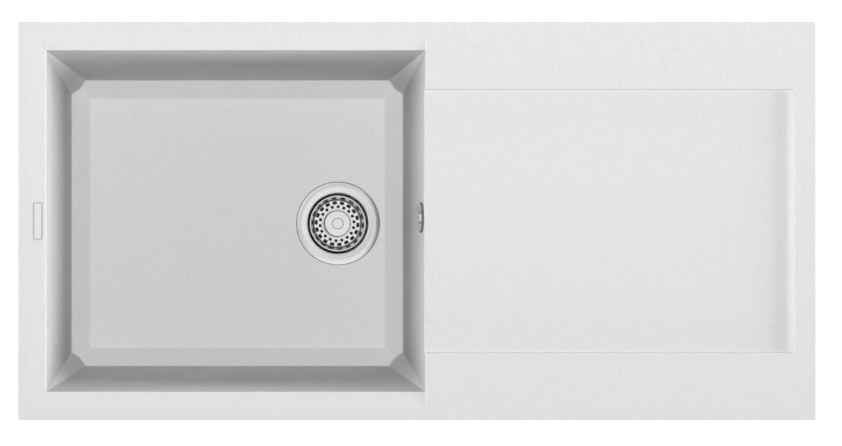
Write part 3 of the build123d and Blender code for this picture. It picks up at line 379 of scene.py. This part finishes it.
# Overflow pipe: ribs with rounded crests and tight grooves along a smooth line
elbow = sum(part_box("union_nut_upper"), Vector()) / 2 - DRAIN
elbow.z = 0.0
PIPE_RUN = elbow.length
PIPE_HEADING = elbow.normalized()
PIPE_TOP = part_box("overflow_hose")[1].z
PIPE_SIDE = PIPE_HEADING.cross(Vector((0, 0, 1)))
PIPE_PLAIN = 0.011
PIPE_ROOT = 0.0095
PIPE_CREST = 0.0112
PIPE_COLLAR = 0.0126
PIPE_BORE = 0.0085
PIPE_START = 0.0738
PIPE_BEND = 0.0858
PIPE_LOW = -0.2245
PIPE_UPRIGHT = -0.1300
PIPE_END = 0.0119
PIPE_AROUND = 48
RIB_COUNT = 44
RIB_STEPS = 10
RIB_FULLNESS = 0.6
BORE_STEPS = 60


def pipe_place(run, z):
    """Point at a level, some way out from the drain's axis."""
    return DRAIN + PIPE_HEADING * run + Vector((0, 0, z))


def smooth_line(points):
    """Points along the smooth line that these control points give."""
    data = bpy.data.curves.new("route", "CURVE")
    data.dimensions = "3D"
    spline = data.splines.new("NURBS")
    spline.points.add(len(points) - 1)
    for point, place in zip(spline.points, points):
        point.co = (*place, 1.0)
    spline.order_u = 3
    spline.use_endpoint_u = True
    spline.resolution_u = 40
    route = bpy.data.objects.new("route", data)
    mesh = bpy.data.meshes.new_from_object(route)
    line = [vertex.co.copy() for vertex in mesh.vertices]
    bpy.data.meshes.remove(mesh)
    bpy.data.objects.remove(route)
    return line


pipe_line = smooth_line(
    [
        pipe_place(PIPE_START, PIPE_LOW),
        pipe_place(PIPE_BEND, PIPE_LOW),
        pipe_place(PIPE_RUN, PIPE_LOW),
        pipe_place(PIPE_RUN, PIPE_UPRIGHT),
        pipe_place(PIPE_RUN, PIPE_TOP - PIPE_END),
        pipe_place(PIPE_RUN, PIPE_TOP),
    ]
)
pipe_marks = [0.0]
for first, second in zip(pipe_line, pipe_line[1:]):
    pipe_marks.append(pipe_marks[-1] + (second - first).length)
PIPE_LENGTH = pipe_marks[-1]


def pipe_ring(distance, radius):
    """Ring of points round the pipe's line at a distance along it."""
    step = min(bisect(pipe_marks, distance), len(pipe_marks) - 1) - 1
    first, second = pipe_line[step], pipe_line[step + 1]
    share = (distance - pipe_marks[step]) / (pipe_marks[step + 1] - pipe_marks[step])
    before = pipe_line[max(step - 1, 0)]
    after = pipe_line[min(step + 2, len(pipe_line) - 1)]
    ahead = (second - before).normalized().lerp((after - first).normalized(), share).normalized()
    up = ahead.cross(PIPE_SIDE)
    centre = first.lerp(second, share)
    turn = 2 * pi / PIPE_AROUND
    return [
        centre + radius * (cos(turn * k) * PIPE_SIDE + sin(turn * k) * up)
        for k in range(PIPE_AROUND)
    ]


COLLAR = 2 * MM
ROUND = 0.4 * MM
collar_profile = [
    (0.0, PIPE_COLLAR - ROUND),
    (ROUND, PIPE_COLLAR),
    (COLLAR - ROUND, PIPE_COLLAR),
    (COLLAR, PIPE_COLLAR - ROUND),
    (COLLAR, PIPE_ROOT + ROUND),
    (COLLAR + ROUND, PIPE_ROOT),
]
rib_pitch = (PIPE_LENGTH - 2 * PIPE_PLAIN) / RIB_COUNT
rib_profile = []
for rib in range(RIB_COUNT * RIB_STEPS + 1):
    share = rib % RIB_STEPS / RIB_STEPS
    swell = (0.5 - 0.5 * cos(2 * pi * share)) ** RIB_FULLNESS
    place = PIPE_PLAIN + rib * rib_pitch / RIB_STEPS
    rib_profile.append((place, PIPE_ROOT + (PIPE_CREST - PIPE_ROOT) * swell))
end_profile = [(PIPE_LENGTH - place, radius) for place, radius in reversed(collar_profile)]
bore_profile = [(PIPE_LENGTH * k / BORE_STEPS, PIPE_BORE) for k in range(BORE_STEPS, -1, -1)]
pipe_profile = collar_profile + rib_profile + end_profile + bore_profile
pipe_rings = [pipe_ring(*step) for step in pipe_profile]
pipe_mesh = skin("ribbed_pipe", pipe_rings, crease=50, loop=True)
pipe = new_piece("ribbed_pipe", pipe_mesh, "hose_plastic", "sink")
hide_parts("overflow_hose")

# Foam tape under the rim: soft edges, slightly uneven, its ends butted at the corners.
# Its profile has shares of the width and heights in millimetres
TAPE_OUTER = (0.494, 0.244)
TAPE_INNER = (0.490, 0.240)
TAPE_PROFILE = (
    (0.0, 0.3),
    (0.0, 1.15),
    (0.08, 1.5),
    (0.92, 1.5),
    (1.0, 1.15),
    (1.0, 0.3),
    (0.9, 0.02),
    (0.1, 0.02),
)
TAPE_STEP = 0.004
TAPE_SQUEEZE = 0.09
TAPE_WAVE = 0.08
TAPE_DIP = 0.25
DIP_STEPS = (1, 2)
CORNERS = ((-1, -1), (1, -1), (1, 1), (-1, 1))
tape_rings = []
for side in range(4):
    start, end = CORNERS[side], CORNERS[(side + 1) % 4]
    length = abs(start[0] - end[0]) * TAPE_OUTER[0] + abs(start[1] - end[1]) * TAPE_OUTER[1]
    steps = round(length / TAPE_STEP)
    for step in range(steps):
        share = step / steps
        x = start[0] + (end[0] - start[0]) * share
        y = start[1] + (end[1] - start[1]) * share
        dip = TAPE_DIP if step in DIP_STEPS else 0.0
        ring = []
        for across, height in TAPE_PROFILE:
            wave = noise.noise(Vector((x * 160, y * 90, across * 2)))
            pull = 0.5 + (across - 0.5) * (0.96 + 0.06 * wave)
            reach = [o + (i - o) * pull for o, i in zip(TAPE_OUTER, TAPE_INNER)]
            lift = height if height < 1 else height - TAPE_SQUEEZE - TAPE_WAVE * wave - dip
            ring.append((x * reach[0], y * reach[1], lift * MM))
        tape_rings.append(ring)
tape = new_piece("foam_tape", skin("foam_tape", tape_rings, crease=60, loop=True), "foam", "sink")
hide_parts("rim_seal")


THREAD_ROWS = 6
RIDGE_PEAK = 1.25
RIDGE_SLOPE = 1.5


def thread(crest, root, pitch, top, bottom, count):
    """Rings down a screw thread that fades out at both ends."""
    rings = []
    steps = round((top - bottom) / pitch * THREAD_ROWS)
    for step in range(steps + 1):
        z = top - (top - bottom) * step / steps
        fade = min(1.0, (top - z) / pitch, (z - bottom) / pitch)

        def radius(angle):
            share = (z / pitch - angle / (2 * pi)) % 1.0
            ridge = min(1.0, max(0.0, RIDGE_PEAK - abs(2 * share - 1) * RIDGE_SLOPE))
            return root + (crest - root) * ridge * fade

        rings.append(circle(radius, z, count))
    return rings


# Clamp screws: hexagon head, washer flange and rolled thread; radii and levels down the screw
SCREW_COUNT = 8
SCREW_AROUND = 24
HEAD_FLATS = 0.0050
HEAD_BLUNT = 1.06


def hexagon(angle):
    return HEAD_FLATS / cos((angle + pi / 6) % (pi / 3) - pi / 6)


def blunted(angle):
    return min(hexagon(angle), HEAD_FLATS * HEAD_BLUNT)


SCREW_TIP = ((0.0016, -0.0080), (0.00235, -0.0086))
SCREW_HEAD = (
    (0.0028, -0.0500),
    (0.0029, -0.0524),
    (0.0063, -0.0525),
    (0.0065, -0.0527),
    (0.0065, -0.0533),
    (0.0063, -0.0535),
    (hexagon, -0.0536),
    (hexagon, -0.0570),
    (blunted, -0.0575),
    (0.0040, -0.0575),
    (0.0036, -0.0572),
)
screw_rings = [circle(radius, z, SCREW_AROUND) for radius, z in SCREW_TIP]
screw_rings += thread(
    crest=0.003, root=0.0025, pitch=0.001, top=-0.0087, bottom=-0.0495, count=SCREW_AROUND
)
screw_rings += [circle(radius, z, SCREW_AROUND) for radius, z in SCREW_HEAD]
for number in range(1, SCREW_COUNT + 1):
    low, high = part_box(f"clamp_screw_{number}")
    centre = (low + high) / 2
    rings = [[(x + centre.x, y + centre.y, z) for x, y, z in ring] for ring in screw_rings]
    screw_mesh = skin("threaded_screw", rings, crease=35)
    screw = new_piece(f"threaded_screw_{number}", screw_mesh, "zinc_steel", f"clamp_screw_{number}")
    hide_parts(f"clamp_screw_{number}")

# Outlet's pipe thread, a skin over the plain cylinder
OUTLET_AROUND = 72
OUTLET_INSIDE = ((0.0236, -0.2943), (0.0236, -0.2626))
outlet_rings = thread(
    crest=0.02445, root=0.02392, pitch=0.00231, top=-0.2624, bottom=-0.2945, count=OUTLET_AROUND
)
outlet_rings += [circle(radius, z, OUTLET_AROUND) for radius, z in OUTLET_INSIDE]
outlet_rings = [[(x + DRAIN.x, y, z) for x, y, z in ring] for ring in outlet_rings]
outlet_mesh = skin("outlet_thread", outlet_rings, crease=50, loop=True)
new_piece("outlet_thread", outlet_mesh, "pale_plastic", "sink")

# Surroundings: white to the eye, a pale room to gloss, and no light for the rest
world = bpy.data.worlds.new("surroundings")
scene.world = world
world.use_nodes = True
world.cycles.sampling_method = "NONE"
ROOM_PALE = 1.0
ROOM_DIM = 0.55
ROOM_ACROSS = (0.75, -0.66, 0.0)
ROOM_LEVELS = ((0.12, ROOM_PALE), (0.37, ROOM_DIM), (0.60, ROOM_PALE))


def seen_directly(tree):
    """1 for rays from the camera, from gloss and through glass, else 0."""
    path = tree.nodes.new("ShaderNodeLightPath")
    total = path.outputs["Is Camera Ray"]
    for name in ("Is Glossy Ray", "Is Transmission Ray"):
        larger = tree.nodes.new("ShaderNodeMath")
        larger.operation = "MAXIMUM"
        tree.links.new(total, larger.inputs[0])
        tree.links.new(path.outputs[name], larger.inputs[1])
        total = larger.outputs["Value"]
    return total


def shown_in_metal(tree):
    """1, but for gloss rays a pale room with a dim strip left of and behind the zenith."""
    sight = tree.nodes.new("ShaderNodeTexCoord")
    across = tree.nodes.new("ShaderNodeVectorMath")
    across.operation = "DOT_PRODUCT"
    across.inputs[1].default_value = ROOM_ACROSS
    tree.links.new(sight.outputs["Generated"], across.inputs[0])
    room = tree.nodes.new("ShaderNodeFloatCurve")
    curve = room.mapping.curves[0]
    curve.points[0].location = (0.0, ROOM_PALE)
    curve.points[1].location = (1.0, ROOM_PALE)
    for place, level in ROOM_LEVELS:
        curve.points.new(place, level)
    for point in curve.points:
        point.handle_type = "VECTOR"
    room.mapping.update()
    centred = tree.nodes.new("ShaderNodeMath")
    centred.operation = "ADD"
    centred.inputs[1].default_value = 0.5
    tree.links.new(across.outputs["Value"], centred.inputs[0])
    tree.links.new(centred.outputs["Value"], room.inputs["Value"])
    path = tree.nodes.new("ShaderNodeLightPath")
    choice = tree.nodes.new("ShaderNodeMix")
    choice.inputs["A"].default_value = 1.0
    tree.links.new(path.outputs["Is Glossy Ray"], choice.inputs["Factor"])
    tree.links.new(room.outputs["Value"], choice.inputs["B"])
    return choice.outputs["Result"]


backdrop = world.node_tree.nodes["Background"]
backdrop.inputs["Color"].default_value = (1.0, 1.0, 1.0, 1.0)
strength = world.node_tree.nodes.new("ShaderNodeMapRange")
world.node_tree.links.new(shown_in_metal(world.node_tree), strength.inputs["To Max"])
world.node_tree.links.new(seen_directly(world.node_tree), strength.inputs["Value"])
world.node_tree.links.new(strength.outputs["Result"], backdrop.inputs["Strength"])

# Pale floor under the waste outlet
FLOOR_HALF = 6.0
FLOOR_GLOW = 0.75
floor_mesh = bpy.data.meshes.new("floor")
floor_mesh.from_pydata(
    [(x * FLOOR_HALF, y * FLOOR_HALF, FLOOR_Z) for x, y in CORNERS], [], [(0, 1, 2, 3)]
)
floor = bpy.data.objects.new("floor", floor_mesh)
scene.collection.objects.link(floor)
floor_paint = Paint("floor", (0.8, 0.8, 0.8), 0.9)
floor_paint.link(
    floor_paint.scale(seen_directly(floor_paint.tree), 0.0, FLOOR_GLOW),
    floor_paint.shader.inputs["Emission Strength"],
)
floor_paint.set("Emission Color", (1.0, 1.0, 1.0, 1.0))
floor_mesh.materials.append(floor_paint.material)


def softbox(name, place, target, width, height, power):
    """Rectangular soft lamp at a place, facing a target; gloss doesn't show it."""
    data = bpy.data.lights.new(name, "AREA")
    data.shape = "RECTANGLE"
    data.size = width
    data.size_y = height
    data.energy = power
    lamp = bpy.data.objects.new(name, data)
    scene.collection.objects.link(lamp)
    lamp.location = place
    lamp.rotation_euler = (Vector(target) - Vector(place)).to_track_quat("-Z", "Y").to_euler()
    lamp.visible_glossy = False


# A far lamp above, aimed past the back so that the front gets a little less, and low lamps that reach
# the upper walls of the bowl only
BOWL = (-0.2275, 0.0, -0.03)
BEYOND = (0.9, 4.4, 0.0)
softbox("lamp_top", (-0.15, 0.1, 4.6), BEYOND, width=0.8, height=0.8, power=261.0)
softbox("lamp_right", (5.0, 0.0, 0.745), BOWL, width=3.3, height=1.23, power=253.0)
softbox("lamp_left", (-2.6, 0.0, 0.33), BOWL, width=1.6, height=0.6, power=45.0)
softbox("lamp_back", (-0.1, 2.3, 0.22), BOWL, width=2.0, height=0.4, power=13.0)
softbox("lamp_front", (-0.1, -2.3, 0.22), BOWL, width=2.0, height=0.4, power=13.0)
